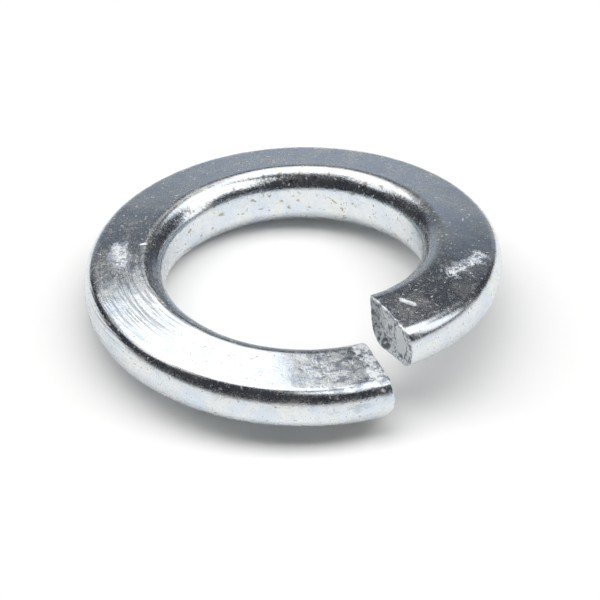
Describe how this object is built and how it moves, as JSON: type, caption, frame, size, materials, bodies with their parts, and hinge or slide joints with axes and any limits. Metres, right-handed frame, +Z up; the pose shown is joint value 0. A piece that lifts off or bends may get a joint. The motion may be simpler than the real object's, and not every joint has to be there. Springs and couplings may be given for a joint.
{
  "type": "spring lock washer",
  "caption": "Split spring lock washer: one left-hand turn of keystone-section steel wire with sheared ends, lying on its lower end, sized to go under the head of a bolt.",
  "frame": {"origin": "the point where the axis of the bore meets the surface that the washer lies on", "axes": "+Z up from the surface that the washer lies on. The split faces between +X and -Y, at -58 degrees from +X. The bore's axis leans 6.1 degrees from +Z towards +Y, because an unloaded washer rests on its lower end and on the side opposite"},
  "size_m": [0.0262, 0.0263, 0.0074],
  "materials": {
    "zinc_plated_steel": "bright zinc plating with fine wire-drawing lines, pits and nicks"
  },
  "bodies": {
    "root": {"spring_washer": "zinc_plated_steel"}
  },
  "joints": []
}
